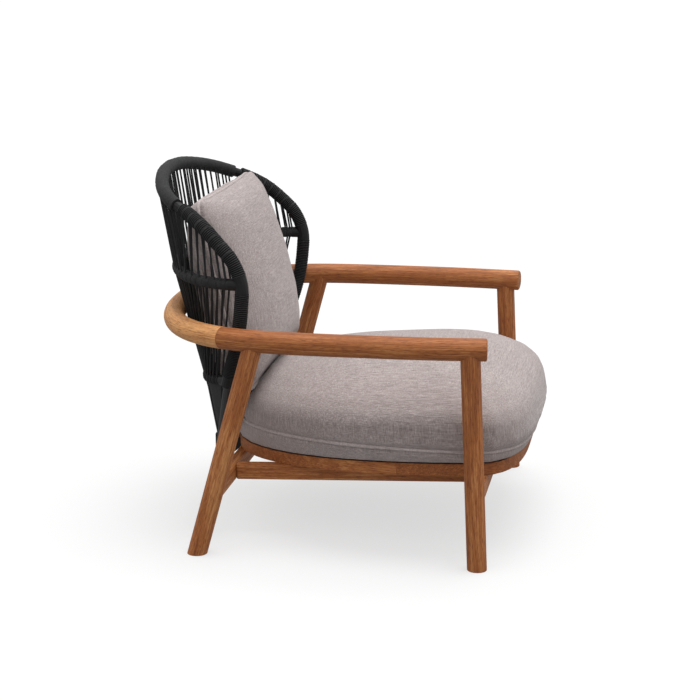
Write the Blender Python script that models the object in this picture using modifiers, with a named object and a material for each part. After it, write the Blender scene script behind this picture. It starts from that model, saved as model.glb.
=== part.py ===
"""Outdoor lounge chair: round hardwood frame, cord-wound back frame and two loose cushions.

Row frame: metres, +Z up, the sitter faces -Y, the origin is on the floor under the centre.
Every sub-part is one named object in the collection LoungeChair.
"""

import math

import bmesh
import bpy
from mathutils import Matrix, Vector

# Clearance between pieces that touch on the real chair
GAP = 0.0003
# Length of a tube's last step where it meets the next piece
SQUARE_END = 0.0008
# How far back the middle of the overall depth lies in the coordinates below
MIDDLE_Y = 0.0039
WELD_DISTANCE = 0.00001
SHARP_ANGLE = math.radians(40)

# Length of the straight steps that each curved piece is made of
PATH_STEP = 0.003
OUTLINE_STEP = 0.004
ARM_SIDE_STEP = 0.030
ARM_BOW_STEP = 0.019
RING_STEP = 0.024
DECK_STEP = 0.028
BACK_STEP = 0.022
WING_STEP = 0.020
UPRIGHT_STEP = 0.024
SLEEVE_STEP = 0.012
FITTING_STEP = 0.008
CORNER_STEP = 0.006
CUSHION_STEP = 0.045
# Roundness of the tubes: 4 gives twelve sides, 5 fourteen, 6 sixteen and 8 twenty
PLAIN = 4
FITTING = 5
RAIL = 6
LEG = 8

# Arm rail: a horizontal horseshoe of round section
ARM_HEIGHT = 0.475
ARM_RADIUS = 0.024
ARM_HALF_WIDTH = 0.388
ARM_TIP_Y = -0.3405
ARM_TOE_IN = 0.0155
ARM_BEND_Y = -0.087
ARM_BEND_DEPTH = 0.489
ARM_SIDE_POWER = 2.13
ARM_REAR_POWER = 4.08
ARM_JOINT_Y = 0.226
ARM_TIP_ROUNDING = 0.0045

# Legs: round, raked, coped into the arm rail
LEG_RADIUS = 0.0212
FRONT_FOOT = (0.3874, -0.3277)
FRONT_TOP = (0.3771, -0.3054)
REAR_FOOT = (0.3856, 0.2816)
REAR_TOP = (0.3745, 0.1526)
FOOT_CHAMFER = 0.002
LEG_OVERRUN = 0.08

# Seat frame: two cross rails, two side rails and a rounded ring, all tilted back
SEAT_TILT = math.radians(2.3)
RAIL_BOTTOM_Z = 0.134
RAIL_HEIGHT = 0.036
RAIL_THICKNESS = 0.024
RAIL_ROUNDING = 0.004
CROSS_RAIL_FRONT_Y = -0.3275
CROSS_RAIL_REAR_Y = 0.240
CROSS_RAIL_SHARE = 0.3
SIDE_RAIL_X = 0.227
RING_HEIGHT = 0.026
RING_BAND = 0.052
RING_HALF_WIDTH = 0.310
RING_WIDEST_Y = -0.280
RING_FRONT_DEPTH = 0.130
RING_FRONT_POWER = 3.3
RING_REAR_DEPTH = 0.542
RING_REAR_POWER = 2.35
RING_JOINT_Y = -0.143
RING_ROUNDING = 0.003
DECK_THICKNESS = 0.003
DECK_INSET = 0.004

# Back frame: a loop of tube wound with cord, seen here as the wound outside diameter
LOOP_RADIUS = 0.0148
SLEEVE_RADIUS = 0.0105
HOOP_RADIUS = 0.0118
LOWER_RAIL_RADIUS = 0.0105
LOWER_TUBE_RADIUS = 0.0095
STILE_RADIUS = 0.0058
CORD_PANEL_THICKNESS = 0.006
LOOP_POINTS = (
    (0.000, 0.428, 0.7875),
    (0.080, 0.422, 0.7840),
    (0.160, 0.4045, 0.7725),
    (0.218, 0.382, 0.7590),
    (0.257, 0.353, 0.7440),
    (0.284, 0.315, 0.7265),
    (0.308, 0.277, 0.7030),
    (0.324, 0.241, 0.6710),
    (0.331, 0.207, 0.6330),
    (0.3325, 0.1885, 0.5850),
    (0.3320, 0.1895, 0.5350),
    (0.3285, 0.1955, 0.4870),
    (0.3180, 0.2050, 0.4430),
    (0.3040, 0.2180, 0.4020),
    (0.2880, 0.2310, 0.3620),
)
ARCH_END_Z = 0.7405
WING_START_Z = 0.7335
WING_JOINT_Z = 0.585
WING_JOINT_HALF = 0.0185
LOWER_JOINT_Z = 0.362
LOWER_JOINT_LENGTH = 0.030
HOOP_REAR_Y = 0.395
HOOP_POWER = 2.1
HOOP_STUB = 0.026
SPLIT_X = 0.262
SPLIT_GAP = 0.002
PANEL_SHORT = 0.008
FITTING_EXTRA = 0.001
PANEL_CLEARANCE = 0.0015
WEB_REACH = 0.82
WEB_THICKNESS = 0.003
STILE_TOP = (0.250, 0.3270, 0.5850)
STILE_KNEE = (0.131, 0.3165, 0.3380)
STILE_FOOT = (0.031, 0.3125, 0.1560)
LOWER_RAIL_BULGE = (0.222, 0.2870, 0.3510)
JOINT_RADIUS = 0.0138
CORNER_REACH = 0.010
RAIL_REACH = 0.028
TUBE_REACH = 0.034
HUB_SIZE = (0.074, 0.024, 0.052)
HUB_CENTRE = (0.0, 0.3130, 0.1460)
HUB_ROUNDING = 0.004
HUB_OVERLAP = 0.004
BRACKET_WIDTH = 0.044
BRACKET_ROUNDING = 0.002
BRACKET_PROFILE = (
    (0.2480, 0.158),
    (0.2480, 0.147),
    (0.2650, 0.139),
    (0.2870, 0.120),
    (0.3013, 0.120),
    (0.3013, 0.170),
    (0.2660, 0.158),
)

# Loose cushions: the plane where they meet, by its height and Y, and how far it leans
CONTACT_Y = 0.160
CONTACT_Z = 0.390
CONTACT_LEAN = 0.59
# Seat cushion's foot: height above the deck, then how far it stands out at the side, front and rear
SEAT_CUSHION_LEVELS = (
    (0.000, 0.000, 0.0020, 0.000),
    (0.012, 0.014, 0.0150, 0.006),
    (0.040, 0.030, 0.0294, 0.010),
    (0.088, 0.036, 0.0210, 0.004),
)
# Its dome, from the last of those levels up to the crown
SEAT_CROWN = 0.197
SEAT_DOME_SHARES = (0.2, 0.4, 0.6, 0.75, 0.87, 0.95, 1.0)
SEAT_DOME_RISE_POWER = 1.83
SEAT_DOME_IN_POWER = 2.07
SEAT_DOME_SMALLEST = 0.12
SEAT_MIDDLE_Y = -0.100
# Back cushion: how far up, then half-width and depth to the front and to the rear
BACK_CUSHION_FOOT = (0.226, 0.300)
BACK_CUSHION_HEAD = (0.300, 0.744)
BACK_CUSHION_POWER = 2.5
BACK_CUSHION_SIDES = 28
BACK_CUSHION_LEVELS = (
    (0.00, 0.205, 0.014, 0.014),
    (0.04, 0.232, 0.040, 0.028),
    (0.12, 0.247, 0.068, 0.042),
    (0.25, 0.260, 0.084, 0.054),
    (0.40, 0.264, 0.088, 0.064),
    (0.60, 0.264, 0.078, 0.070),
    (0.80, 0.262, 0.060, 0.060),
    (0.92, 0.260, 0.042, 0.042),
    (1.00, 0.246, 0.014, 0.014),
)

SIDES = ((-1, "right"), (1, "left"))

WOOD = ((0.302, 0.122, 0.045), 0.55, 0.0)
CORD = ((0.017, 0.017, 0.019), 0.80, 0.0)
COAT = ((0.012, 0.012, 0.013), 0.45, 0.0)
MESH = ((0.010, 0.010, 0.011), 0.85, 0.0)
FABRIC = ((0.370, 0.305, 0.292), 0.90, 0.0)


def clear_scene():
    for item in list(bpy.data.objects):
        bpy.data.objects.remove(item, do_unlink=True)
    for group in list(bpy.data.collections):
        bpy.data.collections.remove(group)


clear_scene()
CHAIR = bpy.data.collections.new("LoungeChair")
CUTTERS = bpy.data.collections.new("Cutters")
bpy.context.scene.collection.children.link(CHAIR)
bpy.context.scene.collection.children.link(CUTTERS)


def material(name, look):
    colour, roughness, metallic = look
    made = bpy.data.materials.new(name)
    made.use_nodes = True
    shader = made.node_tree.nodes["Principled BSDF"]
    shader.inputs["Base Color"].default_value = (*colour, 1.0)
    shader.inputs["Roughness"].default_value = roughness
    shader.inputs["Metallic"].default_value = metallic
    return made


def add(name, mesh, look):
    made = bpy.data.objects.new(name, mesh)
    mesh.name = name
    mesh.materials.clear()
    mesh.materials.append(material(name, look))
    CHAIR.objects.link(made)
    return made


def add_cutter(name, mesh):
    made = bpy.data.objects.new(name, mesh)
    made.display_type = "WIRE"
    made.hide_render = True
    CUTTERS.objects.link(made)
    return made


def cut(target, cutter, operation="DIFFERENCE", solver="EXACT"):
    modifier = target.modifiers.new(cutter.name, "BOOLEAN")
    modifier.operation = operation
    modifier.solver = solver
    modifier.object = cutter


def weld(target):
    modifier = target.modifiers.new("Weld", "WELD")
    modifier.merge_threshold = WELD_DISTANCE


def bevel_edges(target, width, segments, angle=SHARP_ANGLE):
    bevel = target.modifiers.new("Bevel", "BEVEL")
    bevel.width = width
    bevel.segments = segments
    bevel.limit_method = "ANGLE"
    bevel.angle_limit = angle


def round_edges(target, width, segments, angle=SHARP_ANGLE):
    weld(target)
    bevel_edges(target, width, segments, angle)


def lengths_of(points):
    """The length of the path up to each of its points."""
    total = [0.0]
    for a, b in zip(points, points[1:]):
        total.append(total[-1] + (b - a).length)
    return total


def even(points, start, end, count):
    """So many evenly spaced points of the path between two lengths."""
    total = lengths_of(points)
    picked = []
    k = 0
    for i in range(count):
        want = start + (end - start) * i / (count - 1)
        while k < len(points) - 2 and total[k + 1] < want:
            k += 1
        share = (want - total[k]) / (total[k + 1] - total[k])
        picked.append(points[k].lerp(points[k + 1], share))
    return picked


def resample(points, step):
    """The same polyline with evenly spaced points, its ends kept."""
    points = [Vector(p) for p in points]
    length = lengths_of(points)[-1]
    return even(points, 0.0, length, max(2, round(length / step) + 1))


def smooth_path(points, per_span=12):
    """A Catmull-Rom curve through the points."""
    points = [Vector(p) for p in points]
    ends = [2 * points[0] - points[1], *points, 2 * points[-1] - points[-2]]
    path = []
    for i in range(1, len(ends) - 2):
        a, b, c, d = ends[i - 1], ends[i], ends[i + 1], ends[i + 2]
        for j in range(per_span):
            t = j / per_span
            square = (2 * a - 5 * b + 4 * c - d) * t**2
            cubic = (3 * b - a - 3 * c + d) * t**3
            path.append(0.5 * (2 * b + (c - a) * t + square + cubic))
    path.append(points[-1])
    return path


def on_side(points, sign):
    """A line of the left side, on the left (1) or on the right (-1)."""
    return [Vector((sign * p[0], p[1], p[2])) for p in points]


def mirrored(points):
    return on_side(points, -1)


def tube_mesh(points, radius, resolution=PLAIN):
    """A closed round tube along the points, as a mesh."""
    curve = bpy.data.curves.new("Path", "CURVE")
    curve.dimensions = "3D"
    curve.bevel_depth = radius
    curve.bevel_resolution = resolution
    curve.use_fill_caps = True
    spline = curve.splines.new("POLY")
    spline.points.add(len(points) - 1)
    for target, point in zip(spline.points, points):
        target.co = (*point, 1.0)
    holder = bpy.data.objects.new("Holder", curve)
    bpy.context.scene.collection.objects.link(holder)
    bpy.context.view_layer.update()
    graph = bpy.context.evaluated_depsgraph_get()
    mesh = bpy.data.meshes.new_from_object(holder.evaluated_get(graph))
    bpy.data.objects.remove(holder, do_unlink=True)
    weld_mesh(mesh)
    shade_round(mesh)
    return mesh


def shade_round(mesh):
    mesh.shade_smooth()
    mesh.set_sharp_from_angle(angle=SHARP_ANGLE)


def weld_mesh(mesh):
    shape = bmesh.new()
    shape.from_mesh(mesh)
    bmesh.ops.remove_doubles(shape, verts=shape.verts, dist=WELD_DISTANCE)
    bmesh.ops.recalc_face_normals(shape, faces=shape.faces)
    shape.to_mesh(mesh)
    shape.free()


def tube(name, points, radius, look, resolution=PLAIN):
    return add(name, tube_mesh(points, radius, resolution), look)


def tube_cutter(name, points, radius, resolution=PLAIN):
    """A cutter that clears a tube of this radius."""
    return add_cutter(name, tube_mesh(points, radius + GAP, resolution))


def box_mesh(size, centre, rotation=None):
    shape = bmesh.new()
    bmesh.ops.create_cube(shape, size=1.0)
    bmesh.ops.scale(shape, vec=size, verts=shape.verts)
    if rotation is not None:
        bmesh.ops.rotate(shape, matrix=rotation, verts=shape.verts)
    bmesh.ops.translate(shape, vec=centre, verts=shape.verts)
    mesh = bpy.data.meshes.new("Box")
    shape.to_mesh(mesh)
    shape.free()
    return mesh


def loft_mesh(rings):
    """A closed solid through rings of equal count, its ends closed with fans."""
    shape = bmesh.new()
    rows = [[shape.verts.new(p) for p in ring] for ring in rings]
    count = len(rows[0])
    for low, high in zip(rows, rows[1:]):
        for i in range(count):
            shape.faces.new((low[i], low[(i + 1) % count], high[(i + 1) % count], high[i]))
    for row in (rows[0], rows[-1]):
        middle = shape.verts.new(sum((v.co for v in row), Vector()) / count)
        for i in range(count):
            shape.faces.new((row[i], row[(i + 1) % count], middle))
    bmesh.ops.recalc_face_normals(shape, faces=shape.faces)
    mesh = bpy.data.meshes.new("Loft")
    shape.to_mesh(mesh)
    shape.free()
    return mesh


def sheet(name, rows, look, thickness):
    """A thin closed slab through rows of equal count."""
    shape = bmesh.new()
    grid = [[shape.verts.new(p) for p in row] for row in rows]
    for low, high in zip(grid, grid[1:]):
        for i in range(len(low) - 1):
            shape.faces.new((low[i], low[i + 1], high[i + 1], high[i]))
    mesh = bpy.data.meshes.new(name)
    shape.to_mesh(mesh)
    shape.free()
    slab = add(name, mesh, look)
    solidify = slab.modifiers.new("Solidify", "SOLIDIFY")
    solidify.thickness = thickness
    solidify.offset = 0.0
    solidify.use_even_offset = True
    return slab


def length_at(points, axis, value):
    """How far along the path its coordinate on the axis first passes the value."""
    total = lengths_of(points)
    for i in range(len(points) - 1):
        a = points[i][axis] - value
        b = points[i + 1][axis] - value
        if a * b <= 0 and a != b:
            return total[i] + (total[i + 1] - total[i]) * a / (a - b)
    return total[-1]


def stretch(points, start, end, step):
    """The path between two lengths, resampled. An end inside the path is cut square to it."""
    total = lengths_of(points)

    def at(want):
        for i in range(len(points) - 1):
            if want <= total[i + 1]:
                return points[i].lerp(points[i + 1], (want - total[i]) / (total[i + 1] - total[i]))
        return points[-1].copy()

    first = [at(start)] if start > 0 else []
    last = [at(end)] if end < total[-1] else []
    start += SQUARE_END if first else 0.0
    end -= SQUARE_END if last else 0.0
    inner = [p for p, s in zip(points, total) if start < s < end]
    return first + resample([at(start), *inner, at(end)], step) + last


# ---------------------------------------------------------------- arm rail


def arm_path():
    """One half of the rail's centreline, from the front tip to the rear centre."""
    points = []
    straight_steps = 24
    for i in range(straight_steps):
        y = ARM_TIP_Y + (ARM_BEND_Y - ARM_TIP_Y) * i / straight_steps
        inward = ARM_TOE_IN * ((ARM_BEND_Y - y) / (ARM_BEND_Y - ARM_TIP_Y)) ** 2
        points.append((ARM_HALF_WIDTH - inward, y, ARM_HEIGHT))
    bend_steps = 399
    for i in range(bend_steps):
        angle = math.pi / 2 * i / bend_steps
        x = ARM_HALF_WIDTH * math.cos(angle) ** (2 / ARM_SIDE_POWER)
        y = ARM_BEND_Y + ARM_BEND_DEPTH * math.sin(angle) ** (2 / ARM_REAR_POWER)
        points.append((x, y, ARM_HEIGHT))
    points.append((0.0, ARM_BEND_Y + ARM_BEND_DEPTH, ARM_HEIGHT))
    return resample(points, OUTLINE_STEP)


ARM_LINE = arm_path()
ARM_LENGTH = lengths_of(ARM_LINE)[-1]
ARM_JOINT = length_at(ARM_LINE, 1, ARM_JOINT_Y)
ARM_SIDE = stretch(ARM_LINE, 0.0, ARM_JOINT - GAP / 2, ARM_SIDE_STEP)
ARM_REAR = stretch(ARM_LINE, ARM_JOINT + GAP / 2, ARM_LENGTH, ARM_BOW_STEP)
for sign, side in SIDES:
    arm = tube(f"arm_{side}", on_side(ARM_SIDE, sign), ARM_RADIUS, WOOD, RAIL)
    round_edges(arm, ARM_TIP_ROUNDING, 2)
tube("arm_rear_bow", ARM_REAR + mirrored(reversed(ARM_REAR[:-1])), ARM_RADIUS, WOOD, RAIL)

# ---------------------------------------------------------------- legs

FLOOR_SIZE = (3.0, 3.0, 0.2)
FLOOR = add_cutter("floor_cut", box_mesh(FLOOR_SIZE, (0.0, 0.0, -FLOOR_SIZE[2] / 2)))
LEGS = {"front": (FRONT_FOOT, FRONT_TOP), "rear": (REAR_FOOT, REAR_TOP)}


def leg_line(which, sign, below=0.0):
    """A leg's axis from the floor, or below it, up to the arm rail's centreline."""
    foot, top = LEGS[which]
    low = Vector((sign * foot[0], foot[1], 0.0))
    high = Vector((sign * top[0], top[1], ARM_HEIGHT))
    return [low - (high - low) * below, high]


for sign, side in SIDES:
    rail = tube_cutter(f"arm_{side}_cut", on_side(ARM_SIDE, sign), ARM_RADIUS, RAIL)
    for which in LEGS:
        line = leg_line(which, sign, LEG_OVERRUN)
        leg = tube(f"leg_{which}_{side}", line, LEG_RADIUS, WOOD, LEG)
        weld(leg)
        cut(leg, FLOOR)
        bevel_edges(leg, FOOT_CHAMFER, 1)
        cut(leg, rail)
        tube_cutter(f"leg_{which}_{side}_cut", line, LEG_RADIUS, LEG)

# ---------------------------------------------------------------- seat frame

TILT = Matrix.Rotation(-SEAT_TILT, 3, "X")
SEAT_ORIGIN = Vector((0.0, 0.0, RAIL_BOTTOM_Z))


def on_seat(x, y, z):
    """A point of the tilted seat frame, its height counted from the rails' underside."""
    return SEAT_ORIGIN + TILT @ Vector((x, y, z))


def seat_box(name, size, centre):
    made = add(name, box_mesh(size, on_seat(*centre), TILT), WOOD)
    round_edges(made, RAIL_ROUNDING, 2)
    return made


for which, y in (("front", CROSS_RAIL_FRONT_Y), ("rear", CROSS_RAIL_REAR_Y)):
    foot, top = LEGS[which]
    length = 2 * (foot[0] - CROSS_RAIL_SHARE * (foot[0] - top[0]))
    size = (length, RAIL_THICKNESS, RAIL_HEIGHT)
    rail = seat_box(f"cross_rail_{which}", size, (0.0, y, RAIL_HEIGHT / 2))
    for _, side in SIDES:
        cut(rail, bpy.data.objects[f"leg_{which}_{side}_cut"])
add_cutter(
    "cross_rail_rear_cut",
    box_mesh(
        (2 * BRACKET_WIDTH, RAIL_THICKNESS + 2 * GAP, RAIL_HEIGHT + 2 * GAP),
        on_seat(0.0, CROSS_RAIL_REAR_Y, RAIL_HEIGHT / 2),
        TILT,
    ),
)
SIDE_RAIL_LENGTH = CROSS_RAIL_REAR_Y - CROSS_RAIL_FRONT_Y - RAIL_THICKNESS - 2 * GAP
SIDE_RAIL_Y = (CROSS_RAIL_REAR_Y + CROSS_RAIL_FRONT_Y) / 2
for sign, side in SIDES:
    seat_box(
        f"side_rail_{side}",
        (RAIL_THICKNESS, SIDE_RAIL_LENGTH, RAIL_HEIGHT),
        (sign * SIDE_RAIL_X, SIDE_RAIL_Y, RAIL_HEIGHT / 2),
    )


def ring_side():
    """The ring's outer edge on the +X side, from the rear centre to the front centre."""
    points = []
    for depth, power, start in (
        (RING_REAR_DEPTH, RING_REAR_POWER, math.pi / 2),
        (-RING_FRONT_DEPTH, RING_FRONT_POWER, 0.0),
    ):
        steps = 200
        for i in range(steps + 1):
            angle = abs(start - math.pi / 2 * i / steps)
            middle = math.isclose(angle, math.pi / 2)
            x = 0.0 if middle else RING_HALF_WIDTH * math.cos(angle) ** (2 / power)
            y = RING_WIDEST_Y + depth * math.sin(angle) ** (2 / power)
            points.append(Vector((x, y, 0.0)))
    return resample(points, OUTLINE_STEP)


RING_LINE = ring_side()
RING_LENGTH = lengths_of(RING_LINE)[-1]
RING_JOINT = length_at(RING_LINE, 1, RING_JOINT_Y)
RING_BOTTOM = RAIL_HEIGHT + GAP
RING_TOP = RING_BOTTOM + RING_HEIGHT
DECK_BOTTOM = RING_TOP + GAP
DECK_TOP = DECK_BOTTOM + DECK_THICKNESS


def offset_line(points, distance):
    """The line moved outwards by a distance, its ends kept on the middle plane."""
    moved = []
    for i, p in enumerate(points):
        along = (points[min(i + 1, len(points) - 1)] - points[max(i - 1, 0)]).normalized()
        if p.x < GAP:
            along = Vector((1.0 if i == 0 else -1.0, 0.0, 0.0))
        outward = Vector((-along.y, along.x, 0.0))
        moved.append(p + outward * distance)
    return moved


def closed_outline(distance):
    """The whole outline of the ring, offset outwards."""
    half = offset_line(stretch(RING_LINE, 0.0, RING_LENGTH, DECK_STEP), distance)
    return half + mirrored(reversed(half[1:-1]))


for name, start, end in (
    ("rear", GAP / 2, RING_JOINT - GAP / 2),
    ("front", RING_JOINT + GAP / 2, RING_LENGTH - GAP / 2),
):
    outer = stretch(RING_LINE, start, end, RING_STEP)
    inner = offset_line(outer, -RING_BAND)
    for sign, side in SIDES:
        sections = [
            [
                on_seat(sign * p.x, p.y, z)
                for p, z in ((a, RING_BOTTOM), (a, RING_TOP), (b, RING_TOP), (b, RING_BOTTOM))
            ]
            for a, b in zip(outer, inner)
        ]
        ring = add(f"seat_ring_{name}_{side}", loft_mesh(sections), WOOD)
        round_edges(ring, RING_ROUNDING, 1, math.radians(60))
deck = [
    [on_seat(p.x, p.y, z) for p in closed_outline(-DECK_INSET)] for z in (DECK_BOTTOM, DECK_TOP)
]
add("seat_deck", loft_mesh(deck), MESH)

# ---------------------------------------------------------------- back frame


def half_line(points):
    """The +X half of a line, from the middle plane outwards, mirrored into a whole line."""
    return mirrored(reversed(points[1:])) + list(points)


LOOP = resample(smooth_path(LOOP_POINTS), PATH_STEP)
LOOP_LENGTH = lengths_of(LOOP)[-1]
ARCH_END = length_at(LOOP, 2, ARCH_END_Z)
WING_START = length_at(LOOP, 2, WING_START_Z)
WING_END = length_at(LOOP, 2, WING_JOINT_Z + WING_JOINT_HALF)
SIDE_START = length_at(LOOP, 2, WING_JOINT_Z - WING_JOINT_HALF)
SIDE_END = length_at(LOOP, 2, LOWER_JOINT_Z + LOWER_JOINT_LENGTH / 2)


def hoop_path():
    """One half of the mid hoop, from the rear centre to the wing joint."""
    side = stretch(LOOP, 0.0, length_at(LOOP, 2, WING_JOINT_Z), PATH_STEP)[-1]
    depth = HOOP_REAR_Y - side.y
    points = [(0.0, HOOP_REAR_Y, side.z)]
    steps = 120
    for i in range(1, steps + 1):
        angle = math.pi / 2 * (1 - i / steps)
        x = side.x * math.cos(angle) ** (2 / HOOP_POWER)
        points.append((x, side.y + depth * math.sin(angle) ** (2 / HOOP_POWER), side.z))
    return resample(points, PATH_STEP)


HOOP = hoop_path()
HOOP_LENGTH = lengths_of(HOOP)[-1]
LOWER_CORNER = LOOP[-1]
LOWER_RAIL_STEP = 0.001
LOWER_RAIL = smooth_path((LOWER_CORNER, LOWER_RAIL_BULGE, STILE_KNEE))
LOWER_RAIL = resample(LOWER_RAIL, LOWER_RAIL_STEP)
LOWER_RAIL_LENGTH = lengths_of(LOWER_RAIL)[-1]
LOWER_TUBE = [LOWER_CORNER.copy(), Vector(STILE_FOOT)]
LOWER_TUBE_LENGTH = lengths_of(LOWER_TUBE)[-1]
STILE = [Vector(STILE_FOOT), Vector(STILE_KNEE), Vector(STILE_TOP)]

tube("back_arch", half_line(stretch(LOOP, 0.0, ARCH_END - GAP / 2, BACK_STEP)), LOOP_RADIUS, CORD)
hoop = stretch(HOOP, 0.0, HOOP_LENGTH - HOOP_STUB - GAP, BACK_STEP)
tube("mid_hoop", half_line(hoop), HOOP_RADIUS, CORD)


def fitting(name, runs):
    """A T fitting: a run of tube with its branches joined to it."""
    whole = tube(name, *runs[0], COAT, FITTING)
    for i, (points, radius) in enumerate(runs[1:]):
        cut(whole, add_cutter(f"{name}_branch_{i}", tube_mesh(points, radius, FITTING)), "UNION")
    return whole


HOOP_CLEAR = HOOP_RADIUS + FITTING_EXTRA + PANEL_CLEARANCE
HOOP_CUT = tube_cutter(
    "hoop_cut", half_line(stretch(HOOP, 0.0, HOOP_LENGTH, BACK_STEP)), HOOP_CLEAR
)
HUB = add_cutter("hub_cut", box_mesh(tuple(s + 2 * GAP for s in HUB_SIZE), HUB_CENTRE))
for sign, side in SIDES:
    down_side = on_side(stretch(LOOP, ARCH_END, LOOP_LENGTH, WING_STEP), sign)
    tube_cutter(f"loop_{side}_cut", down_side, LOOP_RADIUS + PANEL_CLEARANCE)
    sleeve = stretch(LOOP, ARCH_END + GAP / 2, WING_START - GAP / 2, SLEEVE_STEP)
    wing = stretch(LOOP, WING_START + GAP / 2, WING_END - GAP / 2, WING_STEP)
    joint = stretch(LOOP, WING_END + GAP / 2, SIDE_START - GAP / 2, FITTING_STEP)
    stub = stretch(HOOP, HOOP_LENGTH - HOOP_STUB, HOOP_LENGTH, FITTING_STEP)
    tube(f"sleeve_{side}", on_side(sleeve, sign), SLEEVE_RADIUS, COAT)
    tube(f"wing_{side}", on_side(wing, sign), LOOP_RADIUS, CORD)
    fitting(
        f"wing_joint_{side}",
        ((on_side(joint, sign), LOOP_RADIUS), (on_side(stub, sign), HOOP_RADIUS + FITTING_EXTRA)),
    )
    upright = stretch(LOOP, SIDE_START + GAP / 2, SIDE_END - GAP / 2, UPRIGHT_STEP)
    tube(f"side_tube_{side}", on_side(upright, sign), LOOP_RADIUS, CORD)
    down = (LOOP[-1] - LOOP[-3]).normalized()
    corner = stretch(LOOP, SIDE_END + GAP / 2, LOOP_LENGTH, CORNER_STEP)
    corner.append(LOWER_CORNER + down * CORNER_REACH)
    toward_rail = stretch(LOWER_RAIL, 0.0, RAIL_REACH - GAP, FITTING_STEP)
    toward_hub = stretch(LOWER_TUBE, 0.0, TUBE_REACH - GAP, TUBE_REACH)
    fitting(
        f"lower_joint_{side}",
        (
            (on_side(corner, sign), JOINT_RADIUS),
            (on_side(toward_rail, sign), LOWER_RAIL_RADIUS + FITTING_EXTRA),
            (on_side(toward_hub, sign), LOWER_TUBE_RADIUS + FITTING_EXTRA),
        ),
    )
    whole_rail = on_side(stretch(LOWER_RAIL, 0.0, LOWER_RAIL_LENGTH, UPRIGHT_STEP), sign)
    inward = (whole_rail[-1] - whole_rail[-2]).normalized()
    whole_rail.append(whole_rail[-1] + inward * STILE_RADIUS)
    tube_cutter(f"lower_rail_{side}_cut", whole_rail, LOWER_RAIL_RADIUS + FITTING_EXTRA)
    rail = stretch(LOWER_RAIL, RAIL_REACH, LOWER_RAIL_LENGTH, UPRIGHT_STEP)
    rail = tube(f"lower_rail_{side}", on_side(rail, sign), LOWER_RAIL_RADIUS, CORD)
    stile_cut = tube_cutter(f"stile_{side}_cut", on_side(STILE, sign), STILE_RADIUS)
    cut(rail, stile_cut)
    lower_line = on_side(LOWER_TUBE, sign)
    tube_cut = tube_cutter(f"lower_tube_{side}_cut", lower_line, LOWER_TUBE_RADIUS + FITTING_EXTRA)
    cut(rail, tube_cut)
    lower = stretch(LOWER_TUBE, TUBE_REACH, LOWER_TUBE_LENGTH, LOWER_TUBE_LENGTH)
    lower = tube(f"lower_tube_{side}", on_side(lower, sign), LOWER_TUBE_RADIUS, COAT)
    cut(lower, HUB)
    cut(lower, stile_cut)
    stile = tube(f"stile_{side}", on_side(STILE, sign), STILE_RADIUS, COAT)
    cut(stile, HUB)
    cut(stile, HOOP_CUT)

hub = add("back_hub", box_mesh(HUB_SIZE, HUB_CENTRE), COAT)
round_edges(hub, HUB_ROUNDING, 2)

bracket_sides = [
    [Vector((x, *p)) for p in BRACKET_PROFILE] for x in (-BRACKET_WIDTH / 2, BRACKET_WIDTH / 2)
]
bracket = add("back_bracket", loft_mesh(bracket_sides), COAT)
cut(bracket, HUB)
cut(bracket, bpy.data.objects["cross_rail_rear_cut"])
round_edges(bracket, BRACKET_ROUNDING, 2)

# ---------------------------------------------------------------- cord panels


def height_on_stile(z):
    for low, high in zip(STILE, STILE[1:]):
        if low.z <= z <= high.z:
            return low.lerp(high, (z - low.z) / (high.z - low.z))
    return STILE[0].copy()


ARCH_LINE = half_line(stretch(LOOP, 0.0, WING_START, BACK_STEP))
ARCH_CUT = tube_cutter("arch_cut", ARCH_LINE, LOOP_RADIUS + PANEL_CLEARANCE)
HOOP_STILE = length_at(HOOP, 0, STILE_TOP[0])
HOOP_SPLIT = length_at(HOOP, 0, SPLIT_X)


def cord_panel(name, rows, cutters, thickness=CORD_PANEL_THICKNESS):
    """A band of cords as one thin slab, cleared of the tubes that it meets."""
    made = sheet(name, rows, CORD, thickness)
    for cutter in cutters:
        cut(made, cutter, solver="MANIFOLD")


def lower_rows():
    """The rear cords between the stiles, from the hoop down to the hub."""
    top = half_line(even(HOOP, 0.0, HOOP_STILE, 7))
    corner = top[-1]
    rows = [top]
    for height in (STILE_KNEE[2], STILE_FOOT[2] + HUB_OVERLAP):
        edge = height_on_stile(height)
        narrow = edge.x / corner.x
        fade = (height - STILE_FOOT[2]) / (corner.z - STILE_FOOT[2])
        rows.append([Vector((p.x * narrow, edge.y + (p.y - corner.y) * fade, height)) for p in top])
    return rows


upper = (
    half_line(even(LOOP, 0.0, ARCH_END, 8)),
    half_line(even(HOOP, 0.0, HOOP_SPLIT - SPLIT_GAP, 8)),
)
SIDE_CUTS = [
    bpy.data.objects[f"{piece}_{side}_cut"]
    for piece in ("loop", "stile", "lower_rail")
    for side in ("right", "left")
]
cord_panel("cords_rear_upper", upper, (ARCH_CUT, HOOP_CUT, *SIDE_CUTS[:2]))
cord_panel("cords_rear_lower", lower_rows(), (HOOP_CUT, HUB, *SIDE_CUTS[2:]))

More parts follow.
